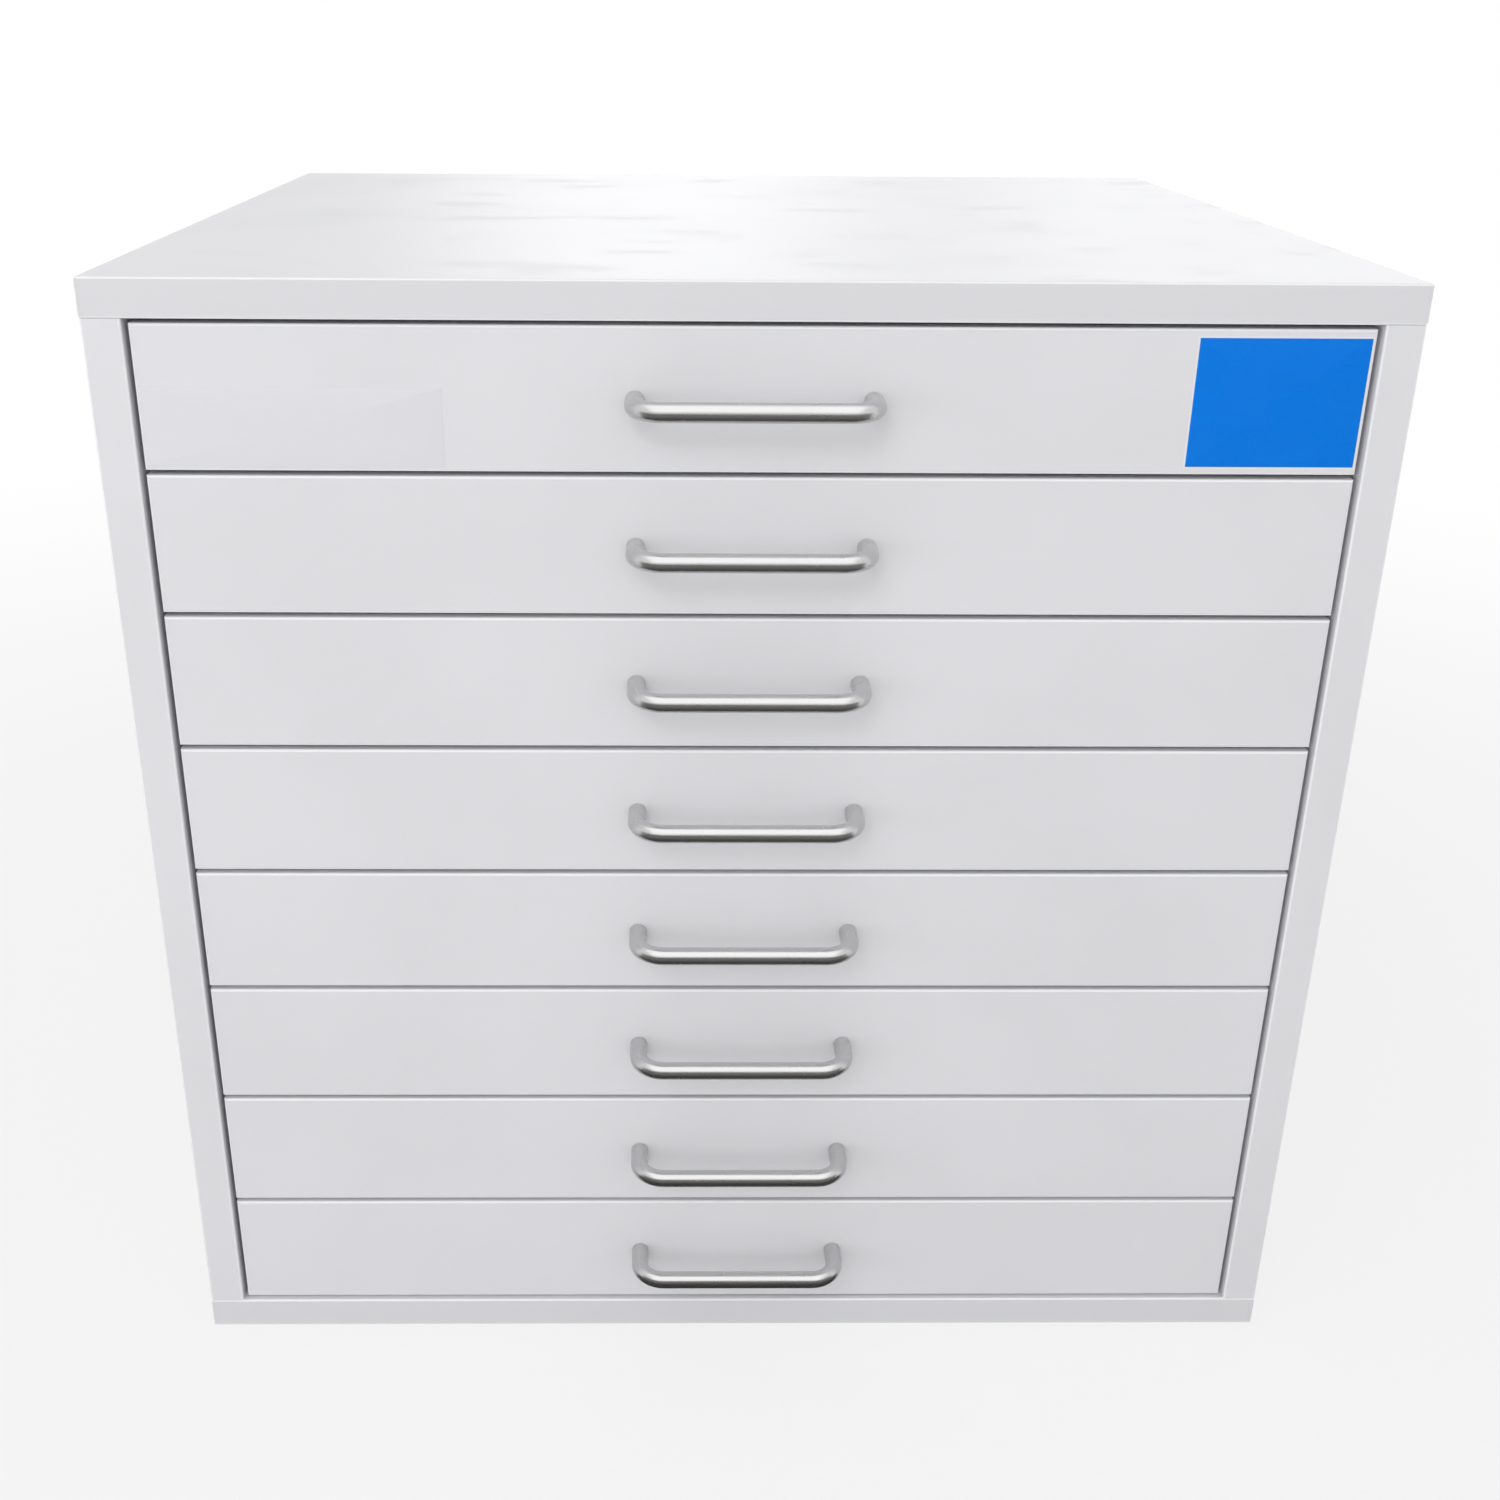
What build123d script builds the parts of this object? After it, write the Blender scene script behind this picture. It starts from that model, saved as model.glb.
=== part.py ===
"""Chest of shallow drawers for reels of embroidery thread.

A coated chipboard carcass holds eight equal inset drawers. Each drawer is a grooved folded frame
with a hardboard bottom, an inset front and a bent bar handle, and runs on two strips that are let
into the sides of the carcass.

Millimetres. X is the width, the drawer fronts face -Y and Z is up from the floor. The origin is
the middle of the underside.
"""

import os

from build123d import *

# Carcass
cabinet_width = 530.0
cabinet_depth = 460.0
cabinet_height = 520.0
carcass_board = 16.0
edge_round = 1.0  # trimmed corner of the glued-on edge bands
back_thickness = 3.0
back_inset = 10.0  # from the rear edges to the back panel
back_tongue = 5.5  # how far the back panel reaches into its grooves

# Dowels that join the sides to the top and bottom panels
dowel_diameter = 8.0
dowel_length = 28.0
dowel_depth_in_panel = 11.5
dowel_setback = 60.0  # from the front and rear edges

# Runner strips
runner_height = 10.0
runner_let_in = 4.0  # depth that is sunk in the carcass side
runner_engagement = 5.5  # depth that reaches into the drawer's groove
runner_front_setback = 14.0  # behind the back of the drawer fronts
runner_rear_setback = 5.0  # in front of the back panel

# Drawer fronts
drawer_count = 8
front_board = 16.0
front_gap = 2.0  # above and beside each front
sill_gap = 1.0  # between the lowest front and the bottom panel
front_recess = 2.0  # behind the front edges of the carcass
front_edge_round = 1.2

# Drawer frames, bottoms and rails
frame_board = 12.0
frame_lift = 4.0  # above the lower edge of the front
frame_drop = 6.75  # below the upper edge of the front
frame_side_gap = 2.5  # between the frame and the carcass side
frame_rear_gap = 12.0  # between the frame and the back panel
bottom_thickness = 3.0
bottom_lift = 6.0  # above the lower edge of the frame
bottom_tongue = 5.5  # how far the bottom reaches into its grooves
rail_count = 4
rail_thickness = 4.0
rail_height = 14.0
rail_tongue = 2.0  # how far a rail reaches into the frame at each end

# Handles and their screws
handle_diameter = 8.0
handle_hole_spacing = 96.0
handle_reach = 22.5  # from the face of the front to the middle of the bar
handle_bend = 10.0  # radius of the bar's middle line
handle_bend_steps = 3  # straight lengths in each bend, which keeps the model light
screw_diameter = 4.0
screw_grip = 6.0  # length of screw inside the handle
screw_hole_spare = 2.0  # threaded hole beyond the end of the screw
screw_head_diameter = 8.0
screw_head_height = 2.6
front_hole_diameter = 5.0

# Clearances
groove_play = 0.1  # each side of a board or strip that is glued into its groove
running_play = 0.25  # above and below a runner in its drawer
end_play = 0.5  # at the end or bottom of a groove or hole
bore_play = 0.1  # round a dowel or a screw in its hole

# Dowels, screws and their holes are hidden, so they have flat sides, which keeps the model light
hidden_sides = 8

# Worked out from the sizes above
inner_width = cabinet_width - 2 * carcass_board
inner_height = cabinet_height - 2 * carcass_board
cabinet_front = -cabinet_depth / 2
cabinet_rear = cabinet_depth / 2
back_panel_front = cabinet_rear - back_inset - back_thickness
front_width = inner_width - 2 * front_gap
front_height = (inner_height - sill_gap) / drawer_count - front_gap
drawer_pitch = front_height + front_gap
front_face = cabinet_front + front_recess
front_back = front_face + front_board
frame_height = front_height - frame_lift - frame_drop
frame_width = inner_width - 2 * frame_side_gap
frame_rear = back_panel_front - frame_rear_gap
frame_inner_width = frame_width - 2 * frame_board
frame_inner_rear = frame_rear - frame_board
runner_start = front_back + runner_front_setback
runner_end = back_panel_front - runner_rear_setback
runner_groove_depth = runner_engagement + end_play


def block(x, y, z):
    """A box between two values along each axis."""
    size = (x[1] - x[0], y[1] - y[0], z[1] - z[0])
    middle = ((x[0] + x[1]) / 2, (y[0] + y[1]) / 2, (z[0] + z[1]) / 2)
    return Pos(*middle) * Box(*size)


def rod(radius, start, length, direction):
    """A dowel, screw shank or drilled hole from a point along an axis."""
    section = Plane(origin=start, z_dir=direction) * RegularPolygon(radius, hidden_sides)
    return extrude(section, amount=length)


def front_bottom(number):
    """Height of the lower edge of a drawer front; drawer 1 is the top one."""
    return carcass_board + sill_gap + (drawer_count - number) * drawer_pitch


def runner_middle(number):
    """Height of the middle of a drawer's runners."""
    return front_bottom(number) + frame_lift + frame_height / 2


def dowel_places():
    """X and Y of each dowel line, which passes through a side into the top and the bottom."""
    x = cabinet_width / 2 - carcass_board / 2
    y = cabinet_depth / 2 - dowel_setback
    return [(side * x, end * y) for side in (-1, 1) for end in (-1, 1)]


def dowel_starts():
    """Lower ends of the dowels in the bottom joints and in the top joints."""
    low = carcass_board - dowel_depth_in_panel
    high = cabinet_height - carcass_board + dowel_depth_in_panel - dowel_length
    return [(x, y, z) for x, y in dowel_places() for z in (low, high)]


def dowels():
    return [rod(dowel_diameter / 2, start, dowel_length, (0, 0, 1)) for start in dowel_starts()]


def dowel_holes():
    radius = dowel_diameter / 2 + bore_play
    length = dowel_length + 2 * end_play
    return [rod(radius, (x, y, z - end_play), length, (0, 0, 1)) for x, y, z in dowel_starts()]


def back_groove():
    """The space that is grooved out of the four panels round the back panel."""
    reach = back_tongue + end_play
    return block(
        (-inner_width / 2 - reach, inner_width / 2 + reach),
        (back_panel_front - groove_play, back_panel_front + back_thickness + groove_play),
        (carcass_board - reach, cabinet_height - carcass_board + reach),
    )


def horizontal_panel(bottom):
    """The top or the bottom panel, which covers the ends of both sides."""
    panel = block(
        (-cabinet_width / 2, cabinet_width / 2),
        (cabinet_front, cabinet_rear),
        (bottom, bottom + carcass_board),
    )
    long_edges = panel.edges().filter_by(Axis.Z, reverse=True)
    return fillet(long_edges, edge_round) - back_groove() - dowel_holes()


def side_panel(side):
    """The left (-1) or right (1) side, grooved for the runners and the back panel."""
    outer = side * cabinet_width / 2
    inner = side * inner_width / 2
    panel = block(
        sorted((outer, inner)),
        (cabinet_front, cabinet_rear),
        (carcass_board, cabinet_height - carcass_board),
    )
    front_edges = panel.edges().filter_by(Axis.Z).group_by(Axis.Y)[0]
    panel = fillet(front_edges, edge_round)
    grooves = [runner(side, number, groove_play) for number in range(1, drawer_count + 1)]
    return panel - back_groove() - dowel_holes() - grooves


def runner(side, number, play=0.0):
    """One runner strip or, with some play, the groove that it is let into."""
    wall = side * inner_width / 2
    sunk = wall + side * (runner_let_in + play)
    proud = wall - side * (frame_side_gap + runner_engagement)
    middle = runner_middle(number)
    half = runner_height / 2 + play
    return block(
        sorted((sunk, proud)),
        (runner_start - play, runner_end + play),
        (middle - half, middle + half),
    )


def runners(side):
    return Compound(children=[runner(side, number) for number in range(1, drawer_count + 1)])


def back_panel():
    return block(
        (-inner_width / 2 - back_tongue, inner_width / 2 + back_tongue),
        (back_panel_front, back_panel_front + back_thickness),
        (carcass_board - back_tongue, cabinet_height - carcass_board + back_tongue),
    )


def bottom_board(number, play=0.0, end=0.0):
    """A drawer's hardboard bottom or, with some play, the groove that it sits in."""
    base = front_bottom(number) + frame_lift + bottom_lift
    reach = bottom_tongue + end
    return block(
        (-frame_inner_width / 2 - reach, frame_inner_width / 2 + reach),
        (front_back - reach, frame_inner_rear + reach),
        (base - play, base + bottom_thickness + play),
    )


def rails(number, play=0.0, end=0.0):
    """Low cross rails that keep the rows of reels apart, or the slots that they stand in."""
    base = front_bottom(number) + frame_lift + bottom_lift + bottom_thickness
    spacing = (frame_inner_rear - front_back) / (rail_count + 1)
    reach = frame_inner_width / 2 + rail_tongue + end
    half = rail_thickness / 2 + play
    places = [front_back + spacing * (index + 1) for index in range(rail_count)]
    return [
        block((-reach, reach), (y - half, y + half), (base, base + rail_height + play))
        for y in places
    ]


def runner_slot(side, number):
    """The groove in a drawer's side, blind at the front, where it stops the drawer."""
    outer = side * frame_width / 2
    middle = runner_middle(number)
    half = runner_height / 2 + running_play
    return block(
        sorted((outer, outer - side * runner_groove_depth)),
        (runner_start - end_play, frame_rear),
        (middle - half, middle + half),
    )


def drawer_frame(number):
    """Two sides and the back, folded from one grooved and coated board."""
    base = front_bottom(number) + frame_lift
    heights = (base, base + frame_height)
    frame = block((-frame_width / 2, frame_width / 2), (front_back, frame_rear), heights)
    frame = frame - block(
        (-frame_inner_width / 2, frame_inner_width / 2), (front_back, frame_inner_rear), heights
    )
    frame = frame - bottom_board(number, groove_play, end_play)
    frame = frame - rails(number, groove_play, end_play)
    return frame - [runner_slot(side, number) for side in (-1, 1)]


def handle_places(number):
    """Where the two legs of a handle meet the drawer front."""
    height = front_bottom(number) + front_height / 2
    return [(side * handle_hole_spacing / 2, front_face, height) for side in (-1, 1)]


def drawer_front(number):
    base = front_bottom(number)
    front = block(
        (-front_width / 2, front_width / 2), (front_face, front_back), (base, base + front_height)
    )
    face_edges = front.faces().sort_by(Axis.Y)[0].edges()
    front = fillet(face_edges, front_edge_round)
    holes = [
        rod(front_hole_diameter / 2, place, front_board, (0, 1, 0))
        for place in handle_places(number)
    ]
    return front - bottom_board(number, groove_play, end_play) - holes


def handle_line(number):
    """Middle line of the bent bar, each bend turned in a few equal steps."""
    left, right = (Vector(*place) for place in handle_places(number))
    out = Vector(0, -handle_reach, 0)
    path = FilletPolyline(left, left + out, right + out, right, radius=handle_bend)
    points = []
    for edge in path.edges():
        points.append(edge @ 0)
        if edge.geom_type == GeomType.CIRCLE:
            points += [edge @ (step / handle_bend_steps) for step in range(1, handle_bend_steps)]
    return Polyline(*points, right)


def handle(number):
    line = handle_line(number)
    section = Plane(origin=line @ 0, z_dir=line % 0) * Circle(handle_diameter / 2)
    bar = sweep(section, path=line, transition=Transition.RIGHT)
    depth = screw_grip + screw_hole_spare
    radius = screw_diameter / 2 + bore_play
    return bar - [rod(radius, place, depth, (0, -1, 0)) for place in handle_places(number)]


def handle_screw(place):
    """A pan head screw that is driven from inside the drawer."""
    x, _, z = place
    length = front_board + screw_grip
    shank = rod(screw_diameter / 2, (x, front_back, z), length, (0, -1, 0))
    head = rod(screw_head_diameter / 2, (x, front_back, z), screw_head_height, (0, 1, 0))
    return shank + head


def handle_screws(number):
    return Compound(children=[handle_screw(place) for place in handle_places(number)])


def carcass_pieces():
    return {
        "top_panel": horizontal_panel(cabinet_height - carcass_board),
        "bottom_panel": horizontal_panel(0.0),
        "left_side": side_panel(-1),
        "right_side": side_panel(1),
        "back_panel": back_panel(),
        "left_runners": runners(-1),
        "right_runners": runners(1),
        "carcass_dowels": Compound(children=dowels()),
    }


def drawer_pieces(number):
    pieces = {
        "front": drawer_front(number),
        "frame": drawer_frame(number),
        "bottom": bottom_board(number),
        "rails": Compound(children=rails(number)),
        "handle": handle(number),
        "handle_screws": handle_screws(number),
    }
    return {f"drawer_{number}_{name}": piece for name, piece in pieces.items()}


os.makedirs("parts", exist_ok=True)
pieces = carcass_pieces()
for drawer in range(1, drawer_count + 1):
    pieces.update(drawer_pieces(drawer))
for name, piece in pieces.items():
    export_step(piece, f"parts/{name}.step")
    print(name, len(piece.solids()), "solids", round(piece.volume), "mm3")
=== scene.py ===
"""Looks of the chest of eight shallow drawers for reels of embroidery thread.

Metres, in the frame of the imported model: X is the width, the drawers face -Y and Z is up from
the floor. The boards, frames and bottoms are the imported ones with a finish. The bent handles,
their screws, the runner strips, the dowels and the two bare stickers are made here.
"""

import math

import bpy
import numpy as np
from mathutils import Matrix, Vector


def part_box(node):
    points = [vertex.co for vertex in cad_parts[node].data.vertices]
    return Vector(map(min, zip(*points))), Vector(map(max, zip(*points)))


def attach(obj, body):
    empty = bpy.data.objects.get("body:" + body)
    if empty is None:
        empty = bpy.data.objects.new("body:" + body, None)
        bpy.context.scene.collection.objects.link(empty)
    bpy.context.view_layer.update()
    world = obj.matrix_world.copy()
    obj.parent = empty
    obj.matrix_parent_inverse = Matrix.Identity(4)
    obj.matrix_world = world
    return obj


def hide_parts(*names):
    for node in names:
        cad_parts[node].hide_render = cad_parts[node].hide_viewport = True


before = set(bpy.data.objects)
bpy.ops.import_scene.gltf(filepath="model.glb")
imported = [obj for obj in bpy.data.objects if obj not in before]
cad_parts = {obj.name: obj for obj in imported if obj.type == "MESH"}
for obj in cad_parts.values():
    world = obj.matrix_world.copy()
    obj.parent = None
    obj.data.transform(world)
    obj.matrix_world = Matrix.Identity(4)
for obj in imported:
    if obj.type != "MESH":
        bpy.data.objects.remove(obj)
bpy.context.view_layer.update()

MM = 0.001
DRAWERS = range(1, 9)
SHARP_ANGLE = math.radians(35.0)

# Handles: a bent round bar on two tapped legs
BAR_RADIUS = 4.0 * MM
BAR_SIDES = 64
BEND_RADIUS = 12.0 * MM
BEND_STEPS = 14
LEG_END_CHAMFER = 0.25 * MM
BORE_RADIUS = 2.1 * MM
BORE_DEPTH = 8.0 * MM

# Handle screws
THREAD_RADIUS = 2.0 * MM
THREAD_DEPTH = 0.35 * MM
THREAD_PITCH = 0.7 * MM
THREAD_START = 0.2 * MM
THREAD_STEPS = 6
SCREW_SIDES = 48
SCREW_TIP = 0.6 * MM
SCREW_HEAD_RADIUS = 3.9 * MM
HEAD_RIM = 0.38
RECESS_ARM = 2.0 * MM
RECESS_WIDTH = 0.55 * MM
RECESS_DEPTH = 1.6 * MM
RECESS_END_SLOPE = 0.9 * MM
RECESS_WALL_SLOPE = 0.25 * MM

# Carcass
BAND_THICKNESS = 1.0 * MM
SEAM_HALF_WIDTH = 0.1 * MM
PANEL_BAND_TONE = 0.94
DOWEL_RADIUS = 4.0 * MM
DOWEL_LENGTH = 28.0 * MM
DOWEL_FLUTES = 18
FLUTE_DEPTH = 0.3 * MM
DOWEL_CHAMFER = 1.2 * MM
STRIP_ROUND = 1.0 * MM

# Stickers on the top drawer: left, right, bottom and top edge
CLEAR_STICKER = np.array([-246.1, -125.2, 444.8, 477.2]) * MM
BLUE_STICKER = np.array([175.7, 246.1, 445.7, 499.2]) * MM
STICKER_THICKNESS = 0.14 * MM
STICKER_EDGE = 0.05 * MM
STICKER_CORNER = 0.5 * MM
STICKER_MARGIN = 0.75 * MM

# Colours of the coated boards, of the painted highlight on their rounded edges and of the right
# sticker
COATED_WHITE = (0.80, 0.80, 0.826)
# A lighter white that paints a highlight on the rounded edges of the boards
PAINTED_HIGHLIGHT_WHITE = (0.93, 0.93, 0.94)
SEAM_TONE = 0.88
PRINT_BLUE = (0.0, 0.205, 0.82)
VINYL_WHITE = (0.84, 0.84, 0.87)

# Camera, from the panel edges in the photograph
CAMERA_PLACE = (-0.03315, -0.90453, 0.61508)
CAMERA_YAW = 0.781
CAMERA_PITCH = 23.581
CAMERA_ROLL = -0.434
CAMERA_LENS = 40.53
CAMERA_SHIFT = 0.0386

# Studio: the sky, a floor that is white far off, the cards in reflections and the lamps
SKY_LOW = 0.55
SKY_HIGH = 0.72
FLOOR_SIZE = 12.0
FLOOR_NEAR = 0.4
FLOOR_FAR = 1.9
FLOOR_NEAR_WHITE = 0.72
CARD_RADIUS = 1.18
CARD_CURVE = 0.25
CARD_HEIGHT = 0.46
CARD_LIFT = 0.002
CARD_SWEEP = 62.0
CARD_FOOT = 0.3
CARD_FOOT_SHADE = (0.05, 0.048, 0.046)
CARD_RIM_SHADE = (0.26, 0.25, 0.24)
GLOW_DISTANCE = 3.0
GLOW_WIDTH = 5.0
GLOW_LOW = 0.3
GLOW_HIGH = 2.2
BOW_CENTRE = (-0.25, 0.25)
BOW_RADIUS = 2.4
BOW_WIDTH = 3.6
BOW_START = 24.0
BOW_END = 94.0
BOW_STRENGTH = 0.56
LAMP_AIM = (0.0, -0.2, 0.25)


# ---------------------------------------------------------------- surfaces


def skin(name, shells, places=None):
    """One mesh over closed shells, each an array of rings (rings, sides, 3).

    Neighbouring rings are joined by quads, and a fan round the mean of the first and of the last
    ring closes each end. The places, if given, go with the points as an attribute for the finish.
    """
    points, quads, fans = [], [], []
    start = 0
    for rings in shells:
        count, sides = rings.shape[:2]
        index = start + np.arange(count * sides).reshape(count, sides)
        ahead = np.roll(index, -1, axis=1)
        quads.append(np.stack([index[:-1], ahead[:-1], ahead[1:], index[1:]], -1).reshape(-1, 4))
        first = start + count * sides
        fans.append(np.stack([np.full(sides, first), ahead[0], index[0]], -1))
        fans.append(np.stack([np.full(sides, first + 1), index[-1], ahead[-1]], -1))
        points += [rings.reshape(-1, 3), rings[0].mean(0)[None], rings[-1].mean(0)[None]]
        start = first + 2
    mesh = bpy.data.meshes.new(name)
    faces = np.concatenate(quads).tolist() + np.concatenate(fans).tolist()
    mesh.from_pydata(np.concatenate(points), [], faces)
    mesh.shade_smooth()
    mesh.set_sharp_from_angle(angle=SHARP_ANGLE)
    if places is not None:
        layer = mesh.attributes.new("bar_place", "FLOAT_VECTOR", "POINT")
        layer.data.foreach_set("vector", np.asarray(places, np.float32).ravel())
    piece = bpy.data.objects.new(name, mesh)
    bpy.context.scene.collection.objects.link(piece)
    return piece


def round_rings(centres, outward, radii, sides, up=(0.0, 0.0, 1.0)):
    """Circles of the given radii, each in the plane of its outward direction and up."""
    angle = np.linspace(0.0, 2 * math.pi, sides, endpoint=False)
    across = np.cos(angle)[None, :, None] * np.asarray(outward)[:, None, :]
    rise = np.sin(angle)[None, :, None] * np.asarray(up)[None, None, :]
    return np.asarray(centres)[:, None, :] + np.asarray(radii)[:, None, None] * (across + rise)


def corner_section(half_width, half_height, radius, steps=6):
    """Rounded rectangle, four quarter circles of the given radius, as (points, 2)."""
    turn = np.linspace(0.0, math.pi / 2, steps)
    angle = (turn[None, :] + np.arange(4)[:, None] * math.pi / 2).ravel()
    signs = np.repeat(np.array([[1, 1], [-1, 1], [-1, -1], [1, -1]]), steps, axis=0)
    centres = signs * np.array([half_width - radius, half_height - radius])
    return centres + radius * np.stack([np.cos(angle), np.sin(angle)], -1)


def rounded_bar(low, high, corner, nose, steps=5):
    """A bar along Y with rounded corners, its two ends drawn in along a quarter circle."""
    low, high = np.asarray(low), np.asarray(high)
    middle = (low + high) / 2
    half = (high - low) / 2
    turn = np.linspace(0.0, math.pi / 2, steps)
    draw_in = nose * (1 - np.sin(turn))
    setback = nose * (1 - np.cos(turn))
    inset = np.concatenate([draw_in, draw_in[::-1]])
    along = np.concatenate([low[1] + setback, (high[1] - setback)[::-1]])
    rings = []
    for shrink, y in zip(inset, along):
        radius = max(corner - shrink, corner * 0.2)
        section = corner_section(half[0] - shrink, half[2] - shrink, radius)
        rings.append(np.stack([middle[0] + section[:, 0], np.full(len(section), y),
                               middle[2] + section[:, 1]], -1))
    return np.array(rings)[:, ::-1]


# ---------------------------------------------------------------- finishes


class Finish:
    """A node material that reads the piece's own coordinates."""

    def __init__(self, name, colour, roughness, **sockets):
        self.material = bpy.data.materials.new(name)
        self.material.use_nodes = True
        self.tree = self.material.node_tree
        self.surface = self.tree.nodes["Principled BSDF"]
        self.surface.inputs["Base Color"].default_value = (*colour, 1.0)
        self.surface.inputs["Roughness"].default_value = roughness
        for socket, value in sockets.items():
            self.surface.inputs[socket.replace("_", " ")].default_value = value
        self.place = self.node("ShaderNodeTexCoord").outputs["Object"]
        self.colour = colour

    def node(self, kind, inputs=None, **settings):
        made = self.tree.nodes.new(kind)
        for setting, value in settings.items():
            setattr(made, setting, value)
        for socket, value in (inputs or {}).items():
            self.set(made.inputs[socket], value)
        return made

    def set(self, socket, value):
        if isinstance(value, bpy.types.NodeSocket):
            self.tree.links.new(value, socket)
        else:
            socket.default_value = value

    def noise(self, cell, stretch=(1.0, 1.0, 1.0), detail=2.0, place=None):
        """Smooth noise about 0.5, in cells of that many metres, longer along a stretched axis."""
        scale = tuple(1.0 / (cell * factor) for factor in stretch)
        inputs = {"Vector": place or self.place, "Scale": scale}
        spread = self.node("ShaderNodeMapping", inputs)
        inputs = {"Vector": spread.outputs["Vector"], "Scale": 1.0, "Detail": detail}
        return self.node("ShaderNodeTexNoise", inputs).outputs["Fac"]

    def ramp(self, value, start, end, to_start, to_end):
        """Carries a value from one range to another, smoothly at both ends."""
        inputs = {"Value": value, "From Min": start, "From Max": end}
        inputs.update({"To Min": to_start, "To Max": to_end})
        made = self.node("ShaderNodeMapRange", inputs, interpolation_type="SMOOTHSTEP")
        return made.outputs["Result"]

    def math(self, operation, first, second=0.0):
        made = self.node("ShaderNodeMath", {0: first, 1: second}, operation=operation)
        return made.outputs[0]

    def blend(self, factor, first, second):
        made = self.node("ShaderNodeMix", data_type="RGBA")
        self.set(made.inputs["Factor"], factor)
        self.set(made.inputs["A"], first)
        self.set(made.inputs["B"], second)
        return made.outputs["Result"]

    def axis(self, letter):
        inputs = {"Vector": self.place}
        return self.node("ShaderNodeSeparateXYZ", inputs).outputs[letter]

    def distance(self):
        """How far a place lies from the middle of the chest's underside."""
        inputs = {0: self.place}
        return self.node("ShaderNodeVectorMath", inputs, operation="LENGTH").outputs["Value"]

    def toned(self, share):
        """The base colour times that share."""
        return (*(channel * share for channel in self.colour), 1.0)

    def tint(self, factor, amount):
        """Darkens the base colour by up to that amount where the factor is high."""
        return self.blend(factor, self.toned(1.0), self.toned(1 - amount))

    def bump(self, *heights):
        """Adds heights, each given as (value, metres), to the surface one after another."""
        normal = None
        for value, distance in heights:
            inputs = {"Height": value, "Distance": distance, "Strength": 1.0}
            made = self.node("ShaderNodeBump", inputs)
            if normal:
                self.set(made.inputs["Normal"], normal)
            normal = made.outputs["Normal"]
        self.set(self.surface.inputs["Normal"], normal)


def seam_line(finish, letter, place):
    """1 along the glue line of an edge band, where a coordinate is that far along its axis."""
    away = finish.math("ABSOLUTE", finish.math("SUBTRACT", finish.axis(letter), place))
    return finish.ramp(away, 0.0, SEAM_HALF_WIDTH, 1.0, 0.0)


def facing(finish):
    """How far the face looks along each axis, either way."""
    normal = finish.node("ShaderNodeTexCoord").outputs["Normal"]
    parts = finish.node("ShaderNodeSeparateXYZ", {"Vector": normal}).outputs
    return [finish.math("ABSOLUTE", parts[letter]) for letter in "XYZ"]


def painted_highlight_edge(finish):
    """1 on the roundings of a board, where the face looks along none of the three axes: the mask
    of the painted highlight, a lighter white, on the rounded edges.
    """
    x, y, z = facing(finish)
    most = finish.math("MAXIMUM", x, finish.math("MAXIMUM", y, z))
    return finish.ramp(most, 0.96, 0.995, 1.0, 0.0)


def upright_face(finish):
    """1 on the front and rear bands of a board."""
    _, y, _ = facing(finish)
    return finish.ramp(y, 0.8, 0.95, 0.0, 1.0)


def melamine(name, seams, band=1.0):
    """White coated board: fine pearl emboss, faint clouds, handling marks, glue lines and a
    painted highlight, a lighter white, on the rounded edges.

    The front and rear edge bands are toned by the given share.
    """
    finish = Finish(name, COATED_WHITE, 0.36, IOR=1.48)
    lines = 0.0
    for letter, place in seams:
        lines = finish.math("MAXIMUM", lines, seam_line(finish, letter, place))
    clouds = finish.ramp(finish.noise(0.11, detail=3.0), 0.35, 0.7, 0.0, 1.0)
    marks = finish.ramp(finish.noise(0.035, (1.6, 1.0, 1.0), 4.0), 0.5, 0.75, 0.0, 1.0)
    board = finish.tint(clouds, 0.03)
    board = finish.blend(lines, board, finish.toned(SEAM_TONE))
    if band < 1.0:
        board = finish.blend(upright_face(finish), board, finish.toned(band))
    # Painted highlight: the rounded edges get a lighter white in the base colour, and a lower
    # roughness.
    highlight_edge = painted_highlight_edge(finish)
    board = finish.blend(highlight_edge, board, (*PAINTED_HIGHLIGHT_WHITE, 1.0))
    finish.set(finish.surface.inputs["Base Color"], board)
    dull = finish.ramp(marks, 0.0, 1.0, 0.34, 0.42)
    buffed = finish.ramp(highlight_edge, 0.0, 1.0, 1.0, 0.6)
    finish.set(finish.surface.inputs["Roughness"], finish.math("MULTIPLY", dull, buffed))
    pearl = finish.noise(0.0006, detail=1.0)
    peel = finish.noise(0.006, detail=1.0)
    sunk = finish.math("SUBTRACT", 1.0, lines)
    finish.bump((pearl, 0.000012), (peel, 0.00003), (sunk, 0.00006))
    return finish.material


def foil(name, colour):
    """Satin foil on the folded frames and the rails: short print streaks and a soft emboss."""
    finish = Finish(name, colour, 0.42, IOR=1.46)
    streaks = finish.ramp(finish.noise(0.004, (6.0, 6.0, 0.6), 3.0), 0.4, 0.7, 0.0, 1.0)
    finish.set(finish.surface.inputs["Base Color"], finish.tint(streaks, 0.035))
    rubs = finish.noise(0.02, detail=3.0)
    finish.set(finish.surface.inputs["Roughness"], finish.ramp(rubs, 0.3, 0.7, 0.38, 0.5))
    finish.bump((streaks, 0.00003), (finish.noise(0.0008, detail=1.0), 0.000015))
    return finish.material


def lacquered_hardboard():
    """Thin board with a white lacquer: faint fibres show through and the skin is a little wavy."""
    finish = Finish("lacquered_hardboard", (0.76, 0.76, 0.765), 0.4, IOR=1.47)
    fibres = finish.ramp(finish.noise(0.0035, detail=4.0), 0.45, 0.75, 0.0, 1.0)
    finish.set(finish.surface.inputs["Base Color"], finish.tint(fibres, 0.05))
    clouds = finish.noise(0.09, detail=2.0)
    finish.set(finish.surface.inputs["Roughness"], finish.ramp(clouds, 0.3, 0.7, 0.36, 0.48))
    finish.bump((finish.noise(0.0012, detail=2.0), 0.00003), (finish.noise(0.012), 0.00006))
    return finish.material


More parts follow.
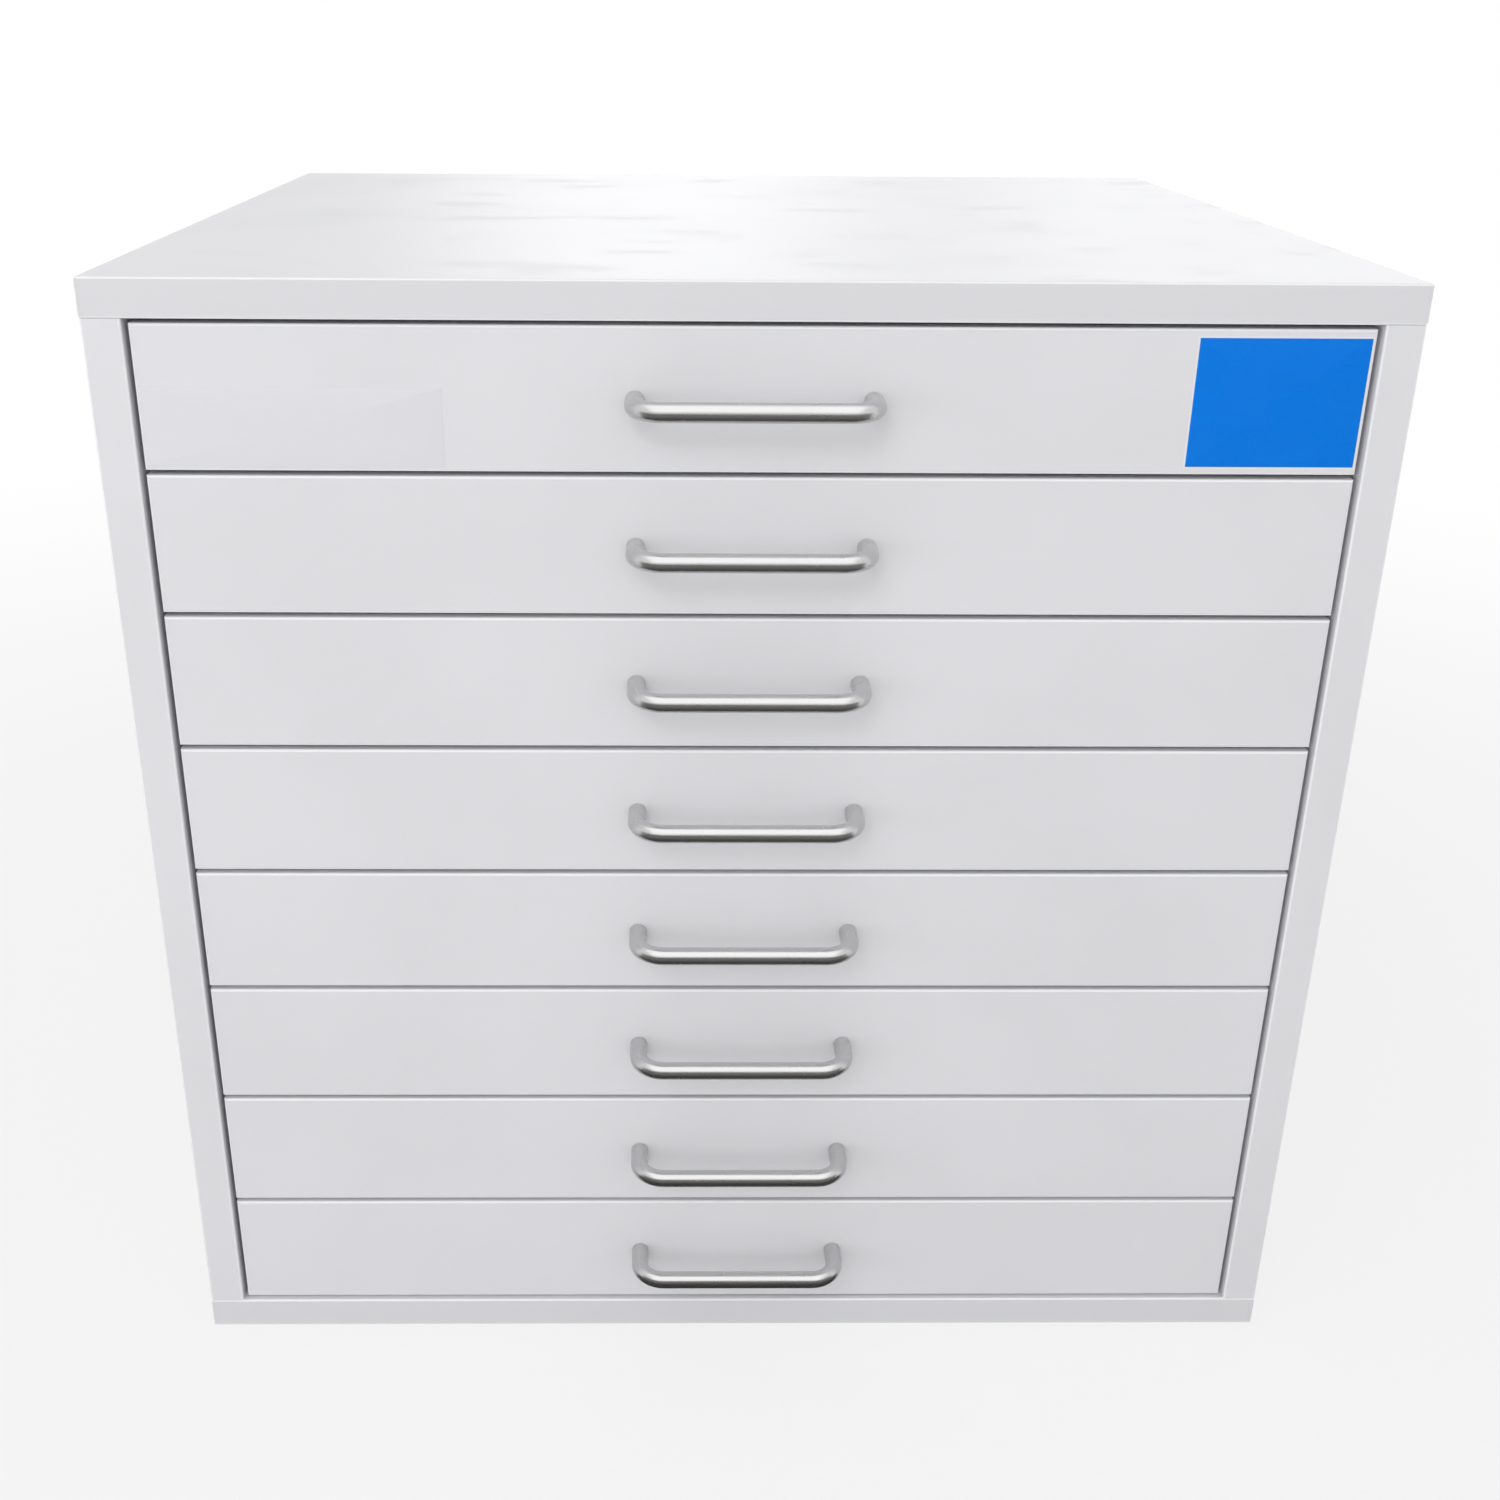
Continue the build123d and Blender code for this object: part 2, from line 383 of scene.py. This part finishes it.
def runner_plastic():
    """Pale extruded plastic with draw lines along Y."""
    finish = Finish("runner_plastic", (0.75, 0.75, 0.74), 0.38, IOR=1.5)
    lines = finish.noise(0.0007, (1.0, 90.0, 1.0), 2.0)
    scuffs = finish.ramp(finish.noise(0.01, (1.0, 6.0, 1.0), 3.0), 0.5, 0.75, 0.0, 1.0)
    finish.set(finish.surface.inputs["Base Color"], finish.tint(scuffs, 0.08))
    finish.set(finish.surface.inputs["Roughness"], finish.ramp(scuffs, 0.0, 1.0, 0.34, 0.52))
    finish.bump((lines, 0.00003))
    return finish.material


def beech():
    """Pale beech with short dark flecks along the grain."""
    finish = Finish("dowel_beech", (0.72, 0.55, 0.36), 0.62)
    grain = finish.ramp(finish.noise(0.0009, (1.0, 1.0, 14.0), 3.0), 0.4, 0.7, 0.0, 1.0)
    flecks = finish.ramp(finish.noise(0.0012, (1.0, 1.0, 4.0), 1.0), 0.66, 0.74, 0.0, 1.0)
    both = finish.math("MAXIMUM", finish.math("MULTIPLY", grain, 0.5), flecks)
    finish.set(finish.surface.inputs["Base Color"], finish.tint(both, 0.4))
    finish.bump((grain, 0.00008))
    return finish.material


def satin_nickel():
    """Brushed bar: hair lines along the bent bar and a little uneven plating."""
    finish = Finish("satin_nickel", (0.62, 0.62, 0.62), 0.28, Metallic=1.0)
    bar = finish.node("ShaderNodeAttribute", attribute_name="bar_place").outputs["Vector"]
    hairs = finish.noise(0.00035, (1.0, 1.0, 40.0), 2.0, bar)
    patches = finish.noise(0.012, (1.0, 1.0, 2.0), 2.0, bar)
    finish.set(finish.surface.inputs["Base Color"], finish.tint(hairs, 0.09))
    finish.set(finish.surface.inputs["Roughness"], finish.ramp(patches, 0.3, 0.7, 0.25, 0.31))
    finish.bump((hairs, 0.000006))
    return finish.material


def bright_zinc():
    """Zinc plating with a bluish cast and darker patches."""
    finish = Finish("bright_zinc", (0.70, 0.71, 0.72), 0.28, Metallic=1.0)
    patches = finish.noise(0.0016, detail=3.0)
    finish.set(finish.surface.inputs["Base Color"], finish.tint(patches, 0.2))
    finish.set(finish.surface.inputs["Roughness"], finish.ramp(patches, 0.3, 0.7, 0.22, 0.4))
    finish.bump((finish.noise(0.0003, detail=1.0), 0.000008))
    return finish.material


def clear_film():
    """Bare clear film: a cooler and glossier patch of the board's own white."""
    finish = Finish("clear_film", (0.79, 0.79, 0.825), 0.24, IOR=1.45)
    ripples = finish.noise(0.014, (2.0, 1.0, 1.0), 2.0)
    finish.set(finish.surface.inputs["Base Color"], finish.tint(ripples, 0.02))
    finish.set(finish.surface.inputs["Roughness"], finish.ramp(ripples, 0.3, 0.7, 0.16, 0.26))
    finish.bump((ripples, 0.00005), (finish.noise(0.0007, detail=1.0), 0.000008))
    return finish.material


def blue_vinyl(edges):
    """Bare blue print that stops short of the edges of its white vinyl."""
    finish = Finish("blue_vinyl", PRINT_BLUE, 0.34, IOR=1.42, Specular_IOR_Level=0.2)
    left, right, bottom, top = edges
    inside = []
    for letter, low, high in (("X", left, right), ("Z", bottom, top)):
        off = finish.math("SUBTRACT", finish.axis(letter), (low + high) / 2)
        reach = (high - low) / 2 - STICKER_MARGIN
        inside.append(finish.math("LESS_THAN", finish.math("ABSOLUTE", off), reach))
    printed = finish.math("MULTIPLY", *inside)
    ink = finish.tint(finish.noise(0.01, (3.0, 1.0, 0.6), 2.0), 0.08)
    print_on_white = finish.blend(printed, (*VINYL_WHITE, 1.0), ink)
    finish.set(finish.surface.inputs["Base Color"], print_on_white)
    marks = finish.noise(0.02, detail=3.0)
    finish.set(finish.surface.inputs["Roughness"], finish.ramp(marks, 0.3, 0.7, 0.24, 0.36))
    finish.bump((finish.noise(0.0009, detail=1.0), 0.00001))
    return finish.material


# ---------------------------------------------------------------- pieces


def wear(piece, material):
    """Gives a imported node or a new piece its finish."""
    piece.data.materials.clear()
    piece.data.materials.append(material)


def handle_line(left, reach):
    """Middle line of half a bar: straight out of the board, then a quarter circle.

    Gives the places as (x, distance from the board) and the outward directions across the bar.
    """
    turn = np.linspace(0.0, math.pi / 2, BEND_STEPS)
    bend = np.stack([left + BEND_RADIUS * (1 - np.cos(turn)),
                     reach - BEND_RADIUS * (1 - np.sin(turn))], -1)
    return bend, np.stack([-np.cos(turn), np.sin(turn)], -1)


def bent_handle(number, material):
    """A round bar, bent at both ends, whose legs are drilled for the screws.

    The rings start at the bottom of the left bore, leave it at its mouth, follow the middle line
    and end at the bottom of the right bore, as one closed skin.
    """
    low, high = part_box(f"drawer_{number}_handle")
    height = (low.z + high.z) / 2
    left = low.x + BAR_RADIUS
    board = high.y
    reach = board - low.y - BAR_RADIUS
    bend, outward = handle_line(left, reach)
    bore = [(BORE_DEPTH, BORE_RADIUS), (0.0, BORE_RADIUS),
            (0.0, BAR_RADIUS - LEG_END_CHAMFER), (LEG_END_CHAMFER, BAR_RADIUS)]
    leg = np.array([(left, distance) for distance, _ in bore])
    half = np.concatenate([leg, bend])
    radii = np.array([radius for _, radius in bore] + [BAR_RADIUS] * len(bend))
    across = np.concatenate([np.tile([-1.0, 0.0], (len(leg), 1)), outward])
    other = half[::-1] * [-1, 1]
    line = np.concatenate([half, other])
    across = np.concatenate([across, across[::-1] * [-1, 1]])
    radii = np.concatenate([radii, radii[::-1]])
    flat = np.full(len(line), height)
    centres = np.stack([line[:, 0], board - line[:, 1], flat], -1)
    outward = np.stack([across[:, 0], -across[:, 1], np.zeros(len(line))], -1)
    rings = round_rings(centres, outward, radii, BAR_SIDES)[:, ::-1]
    length = np.concatenate([[0.0], np.cumsum(np.linalg.norm(np.diff(line, axis=0), axis=1))])
    angle = np.linspace(0.0, 2 * math.pi, BAR_SIDES, endpoint=False)[::-1]
    round_place = np.stack([np.cos(angle), np.sin(angle)], -1) * BAR_RADIUS
    places = np.concatenate([np.repeat(round_place[None], len(line), 0),
                             np.repeat(length[:, None, None], BAR_SIDES, 1)], -1).reshape(-1, 3)
    ends = [[0.0, 0.0, length[0]], [0.0, 0.0, length[-1]]]
    piece = skin(f"drawer_{number}_bent_handle", [rings], np.concatenate([places, ends]))
    wear(piece, material)
    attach(piece, f"drawer_{number}")
    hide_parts(f"drawer_{number}_handle")
    return piece


def cross_recess(across, up):
    """Depth of a cross recess at a place on the head, zero outside its two arms."""
    def arm(along, over):
        end = np.clip((RECESS_ARM - np.abs(along)) / RECESS_END_SLOPE, 0.0, 1.0)
        wall = np.clip((RECESS_WIDTH - np.abs(over)) / RECESS_WALL_SLOPE, 0.0, 1.0)
        return RECESS_DEPTH * end * wall
    return np.maximum(arm(across, up), arm(up, across))


def pan_screw(place, head_height, length):
    """A pan head screw along Y: domed head with a cross recess, then a threaded shank.

    The head is a dome over rings that widen from the middle. The shank's radius rises and falls
    with the turn plus the distance along the screw, in steps of one pitch.
    """
    angle = np.linspace(0.0, 2 * math.pi, SCREW_SIDES, endpoint=False)
    spread = np.concatenate([np.linspace(0.06, 2.4, 16) * MM,
                             np.linspace(2.6 * MM, SCREW_HEAD_RADIUS, 8)])
    across = spread[:, None] * np.cos(angle)
    up = spread[:, None] * np.sin(angle)
    share = spread[:, None] / SCREW_HEAD_RADIUS
    dome = head_height * (HEAD_RIM + (1 - HEAD_RIM) * np.sqrt(np.clip(1 - share ** 4, 0, 1)))
    head = np.stack([across, dome - cross_recess(across, up), up], -1)
    under_radii = [SCREW_HEAD_RADIUS, THREAD_RADIUS]
    under = round_rings([(0, 0, 0)] * 2, [(1, 0, 0)] * 2, under_radii, SCREW_SIDES)
    along = np.arange(THREAD_START, length - SCREW_TIP, THREAD_PITCH / THREAD_STEPS)
    phase = (along[:, None] / THREAD_PITCH + angle / (2 * math.pi)) % 1.0
    ridge = 1 - np.abs(2 * phase - 1)
    fade = np.clip((along[:, None] - THREAD_START) / THREAD_PITCH, 0, 1)
    radius = THREAD_RADIUS - THREAD_DEPTH * (1 - ridge) * fade
    down = -along[:, None] + 0 * angle
    shank = np.stack([radius * np.cos(angle), down, radius * np.sin(angle)], -1)
    tip_radius = THREAD_RADIUS - 2 * THREAD_DEPTH
    tip = round_rings([(0, -length, 0)], [(1, 0, 0)], [tip_radius], SCREW_SIDES)
    rings = np.concatenate([head, under, shank, tip])
    return rings + np.asarray(place)


def handle_screws(number, material):
    low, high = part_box(f"drawer_{number}_handle_screws")
    _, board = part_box(f"drawer_{number}_front")
    height = (low.z + high.z) / 2
    leg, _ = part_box(f"drawer_{number}_handle")
    x = -leg.x - BAR_RADIUS
    screws = [pan_screw((side * x, board.y, height), high.y - board.y, board.y - low.y)
              for side in (-1, 1)]
    piece = skin(f"drawer_{number}_pan_screws", screws)
    wear(piece, material)
    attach(piece, f"drawer_{number}")
    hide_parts(f"drawer_{number}_handle_screws")
    return piece


def runner_strips(side, material):
    """Strips with rounded edges and noses, one for each drawer, let into one side."""
    node = f"{side}_runners"
    low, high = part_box(node)
    count = len(DRAWERS)
    _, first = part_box("drawer_1_front")
    _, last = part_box(f"drawer_{count}_front")
    pitch = (first.z - last.z) / (count - 1)
    height = high.z - low.z - pitch * (count - 1)
    strips = []
    for index in range(count):
        base = low.z + pitch * index
        strips.append(rounded_bar((low.x, low.y, base), (high.x, high.y, base + height),
                                  STRIP_ROUND, STRIP_ROUND))
    piece = skin(f"{side}_runner_strips", strips)
    wear(piece, material)
    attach(piece, "cabinet")
    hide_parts(node)
    return piece


def fluted_dowel(x, y, low, high, radius):
    """A dowel whose radius dips by a cosine of the turn, with both ends drawn in by a chamfer."""
    sides = DOWEL_FLUTES * 6
    angle = np.linspace(0.0, 2 * math.pi, sides, endpoint=False)
    along = np.array([low, low + DOWEL_CHAMFER, high - DOWEL_CHAMFER, high])
    size = np.array([radius - DOWEL_CHAMFER, radius, radius, radius - DOWEL_CHAMFER])
    ripple = size[:, None] - FLUTE_DEPTH * (0.5 - 0.5 * np.cos(DOWEL_FLUTES * angle))
    return np.stack([x + ripple * np.cos(angle), y + ripple * np.sin(angle),
                     np.repeat(along[:, None], sides, 1)], -1)


def dowels(material):
    low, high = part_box("carcass_dowels")
    shells = []
    for x in (low.x + DOWEL_RADIUS, high.x - DOWEL_RADIUS):
        for y in (low.y + DOWEL_RADIUS, high.y - DOWEL_RADIUS):
            for base in (low.z, high.z - DOWEL_LENGTH):
                shells.append(fluted_dowel(x, y, base, base + DOWEL_LENGTH, DOWEL_RADIUS))
    piece = skin("fluted_dowels", shells)
    wear(piece, material)
    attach(piece, "cabinet")
    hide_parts("carcass_dowels")
    return piece


def sticker(name, edges, material):
    """A thin bare sticker that lies on the face of the top drawer."""
    face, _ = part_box("drawer_1_front")
    left, right, bottom, top = edges
    low = (left, face.y - STICKER_THICKNESS, bottom)
    high = (right, face.y, top)
    piece = skin(name, [rounded_bar(low, high, STICKER_CORNER, STICKER_EDGE)])
    wear(piece, material)
    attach(piece, "drawer_1")
    return piece


def panel_seams(node, letters):
    """Glue lines one band's thickness in from the two edges of a panel along each axis."""
    low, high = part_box(node)
    seams = []
    for letter in letters:
        index = "XYZ".index(letter)
        seams.append((letter, low[index] + BAND_THICKNESS))
        seams.append((letter, high[index] - BAND_THICKNESS))
    return seams


def finish_packed_nodes():
    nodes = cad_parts
    for node in ("top_panel", "bottom_panel"):
        wear(nodes[node], melamine(f"{node}_melamine", panel_seams(node, "XY"), PANEL_BAND_TONE))
    for node in ("left_side", "right_side"):
        wear(nodes[node], melamine(f"{node}_melamine", panel_seams(node, "Y")))
    board = lacquered_hardboard()
    wear(nodes["back_panel"], board)
    frame_foil = foil("frame_foil", (0.79, 0.79, 0.80))
    rail_foil = foil("rail_foil", (0.77, 0.77, 0.78))
    for number in DRAWERS:
        node = f"drawer_{number}_front"
        wear(nodes[node], melamine(f"{node}_melamine", panel_seams(node, "XZ")))
        wear(nodes[f"drawer_{number}_frame"], frame_foil)
        wear(nodes[f"drawer_{number}_bottom"], board)
        wear(nodes[f"drawer_{number}_rails"], rail_foil)


# ---------------------------------------------------------------- studio


def white_for_camera(tree, plain, white_share):
    """Shows a surface or sky as white to the camera and in reflections, by that share."""
    path = tree.nodes.new("ShaderNodeLightPath")
    seen = path.outputs["Is Camera Ray"]
    for name in ("Is Glossy Ray", "Is Transmission Ray"):
        most = tree.nodes.new("ShaderNodeMath")
        most.operation = "MAXIMUM"
        tree.links.new(seen, most.inputs[0])
        tree.links.new(path.outputs[name], most.inputs[1])
        seen = most.outputs[0]
    share = tree.nodes.new("ShaderNodeMath")
    share.operation = "MULTIPLY"
    tree.links.new(seen, share.inputs[0])
    if isinstance(white_share, bpy.types.NodeSocket):
        tree.links.new(white_share, share.inputs[1])
    else:
        share.inputs[1].default_value = white_share
    kind = "ShaderNodeBackground" if plain.node.type == "BACKGROUND" else "ShaderNodeEmission"
    white = tree.nodes.new(kind)
    white.inputs["Color"].default_value = (1.0, 1.0, 1.0, 1.0)
    white.inputs["Strength"].default_value = 1.0
    mix = tree.nodes.new("ShaderNodeMixShader")
    tree.links.new(share.outputs[0], mix.inputs[0])
    tree.links.new(plain, mix.inputs[1])
    tree.links.new(white.outputs[0], mix.inputs[2])
    return mix.outputs[0]


def studio_sky():
    """A pale sky that is a little brighter overhead than at the horizon."""
    world = bpy.data.worlds.new("studio_sky")
    bpy.context.scene.world = world
    world.use_nodes = True
    tree = world.node_tree
    sky = tree.nodes["Background"]
    place = tree.nodes.new("ShaderNodeTexCoord")
    split = tree.nodes.new("ShaderNodeSeparateXYZ")
    tree.links.new(place.outputs["Generated"], split.inputs[0])
    rise = tree.nodes.new("ShaderNodeMapRange")
    tree.links.new(split.outputs["Z"], rise.inputs["Value"])
    spread = {"From Min": -0.1, "From Max": 1.0, "To Min": SKY_LOW, "To Max": SKY_HIGH}
    for socket, value in spread.items():
        rise.inputs[socket].default_value = value
    tree.links.new(rise.outputs["Result"], sky.inputs["Strength"])
    sky.inputs["Color"].default_value = (1.0, 1.0, 1.0, 1.0)
    shown = white_for_camera(tree, sky.outputs[0], 1.0)
    tree.links.new(shown, tree.nodes["World Output"].inputs["Surface"])


def studio_floor():
    """A pale floor that keeps the chest's shadow and fades to white away from it."""
    mesh = bpy.data.meshes.new("studio_floor")
    half = FLOOR_SIZE / 2
    corners = [(-half, -half, 0), (half, -half, 0), (half, half, 0), (-half, half, 0)]
    mesh.from_pydata(corners, [], [(0, 1, 2, 3)])
    floor = bpy.data.objects.new("studio_floor", mesh)
    bpy.context.scene.collection.objects.link(floor)
    finish = Finish("studio_floor", (0.8, 0.8, 0.8), 1.0)
    tree = finish.tree
    plain = finish.node("ShaderNodeBsdfDiffuse", {"Color": (0.8, 0.8, 0.8, 1.0)})
    share = finish.ramp(finish.distance(), FLOOR_NEAR, FLOOR_FAR, FLOOR_NEAR_WHITE, 1.0)
    shown = white_for_camera(tree, plain.outputs[0], share)
    tree.nodes.remove(finish.surface)
    tree.links.new(shown, tree.nodes["Material Output"].inputs["Surface"])
    wear(floor, finish.material)


def reflection_card(name, grid, strength=None):
    """A sheet over a grid of points, which only reflections show.

    It glows with the given strength, or else is dark at its foot and paler towards its rim.
    """
    index = np.arange(grid.shape[0] * grid.shape[1]).reshape(grid.shape[:2])
    quads = np.stack([index[:-1, :-1], index[1:, :-1], index[1:, 1:], index[:-1, 1:]], -1)
    mesh = bpy.data.meshes.new(name)
    mesh.from_pydata(grid.reshape(-1, 3), [], quads.reshape(-1, 4).tolist())
    card = bpy.data.objects.new(name, mesh)
    bpy.context.scene.collection.objects.link(card)
    finish = Finish(name, (0.05, 0.05, 0.05), 0.9)
    if strength:
        inputs = {"Color": (1.0, 1.0, 1.0, 1.0), "Strength": strength(finish)}
        glow = finish.node("ShaderNodeEmission", inputs)
        clear = finish.node("ShaderNodeBsdfTransparent")
        both = finish.node("ShaderNodeAddShader", {0: glow.outputs[0], 1: clear.outputs[0]})
        output = finish.tree.nodes["Material Output"]
        finish.tree.nodes.remove(finish.surface)
        finish.tree.links.new(both.outputs[0], output.inputs["Surface"])
    else:
        out = finish.ramp(finish.distance(), CARD_FOOT, CARD_RADIUS, 0.0, 1.0)
        shade = finish.blend(out, (*CARD_FOOT_SHADE, 1.0), (*CARD_RIM_SHADE, 1.0))
        finish.set(finish.surface.inputs["Base Color"], shade)
    wear(card, finish.material)
    card.visible_camera = False
    card.visible_diffuse = False
    card.visible_shadow = False


def shade_card():
    """A dark bowl round the front of the chest, for the lower halves of the bars.

    Its profile runs out along the floor and turns up by a quarter circle to the rim. The profile
    is turned about the chest's upright axis, as far to the left as to the right.
    """
    turn = np.linspace(0.0, math.pi / 2, 9)
    foot = CARD_RADIUS - CARD_CURVE
    out = np.concatenate([[0.0], foot + CARD_CURVE * np.sin(turn), [CARD_RADIUS]])
    rise = np.concatenate([[0.0], CARD_CURVE * (1 - np.cos(turn)), [CARD_HEIGHT]]) + CARD_LIFT
    around = np.radians(np.linspace(-CARD_SWEEP, CARD_SWEEP, 33))[:, None]
    grid = np.stack([out * np.sin(around), -out * np.cos(around), rise + 0 * around], -1)
    reflection_card("shade_card", grid)


def glow_card():
    """A soft glow behind the chest for the sheen of its top, strongest left of the middle.

    From the left it rises, dips right of the middle and comes back part of the way.
    """
    def strength(finish):
        across = finish.axis("X")
        rise = finish.ramp(across, -0.8, -0.2, 0.1, 0.94)
        dip = finish.ramp(across, 0.1, 0.5, 0.0, 0.46)
        back = finish.ramp(across, 0.55, 0.95, 0.0, 0.31)
        return finish.math("ADD", finish.math("SUBTRACT", rise, dip), back)
    across, height = np.meshgrid([-GLOW_WIDTH / 2, GLOW_WIDTH / 2], [GLOW_LOW, GLOW_HIGH])
    grid = np.stack([across, np.full((2, 2), GLOW_DISTANCE), height], -1)
    reflection_card("glow_card", grid, strength)


def light_bow():
    """A bright arch from in front of the chest to above it, for the upper halves of the bars."""
    rise = np.radians(np.linspace(BOW_START, BOW_END, 17))[:, None]
    across = np.linspace(-BOW_WIDTH / 2, BOW_WIDTH / 2, 2)
    y, z = BOW_CENTRE
    grid = np.stack([across + 0 * rise, y - BOW_RADIUS * np.cos(rise) + 0 * across,
                     z + BOW_RADIUS * np.sin(rise) + 0 * across], -1)
    reflection_card("light_bow", grid, lambda finish: BOW_STRENGTH)


def soft_box(name, place, size, power):
    """A lamp that lights the chest and isn't seen in its reflections."""
    light = bpy.data.lights.new(name, "AREA")
    light.shape = "RECTANGLE"
    light.size, light.size_y = size
    light.energy = power
    lamp = bpy.data.objects.new(name, light)
    bpy.context.scene.collection.objects.link(lamp)
    lamp.location = place
    towards = Vector(LAMP_AIM) - Vector(place)
    lamp.rotation_euler = towards.to_track_quat("-Z", "Y").to_euler()
    lamp.visible_camera = False
    lamp.visible_glossy = False


def studio_lights():
    """A small main box high on the left, a broad one below it, one at each side and one behind."""
    soft_box("main_box", (-0.5, -1.9, 1.7), (0.9, 0.6), 6.3)
    soft_box("broad_box", (-0.6, -2.2, 1.0), (2.4, 1.6), 7.2)
    soft_box("left_box", (-2.0, -1.6, 0.5), (1.4, 0.7), 5.5)
    soft_box("right_box", (2.0, -1.6, 0.5), (1.4, 0.7), 1.8)
    soft_box("rear_box", (0.6, 2.4, 1.2), (2.4, 1.6), 4.5)


def camera():
    """A camera turned by a yaw to the right, a pitch down and a roll about its line of sight."""
    yaw, pitch, roll = np.radians([CAMERA_YAW, CAMERA_PITCH, CAMERA_ROLL]).tolist()
    level = math.cos(pitch)
    ahead = Vector((math.sin(yaw) * level, math.cos(yaw) * level, -math.sin(pitch)))
    right = Vector((math.cos(yaw), -math.sin(yaw), 0.0))
    down = ahead.cross(right)
    rolled_right = math.cos(roll) * right + math.sin(roll) * down
    rolled_down = math.cos(roll) * down - math.sin(roll) * right
    data = bpy.data.cameras.new("camera")
    data.sensor_width = 36.0
    data.lens = CAMERA_LENS
    data.shift_x = CAMERA_SHIFT
    eye = bpy.data.objects.new("camera", data)
    bpy.context.scene.collection.objects.link(eye)
    turn = Matrix((rolled_right, -rolled_down, -ahead)).transposed()
    eye.matrix_world = Matrix.Translation(CAMERA_PLACE) @ turn.to_4x4()
    bpy.context.scene.camera = eye


nickel = satin_nickel()
zinc = bright_zinc()
plastic = runner_plastic()
camera()
finish_packed_nodes()
for drawer in DRAWERS:
    bent_handle(drawer, nickel)
    handle_screws(drawer, zinc)
runner_strips("left", plastic)
runner_strips("right", plastic)
dowels(beech())
sticker("clear_sticker", CLEAR_STICKER, clear_film())
sticker("blue_sticker", BLUE_STICKER, blue_vinyl(BLUE_STICKER))
studio_floor()
studio_sky()
shade_card()
glow_card()
light_bow()
studio_lights()
bpy.context.scene.view_settings.view_transform = "Standard"
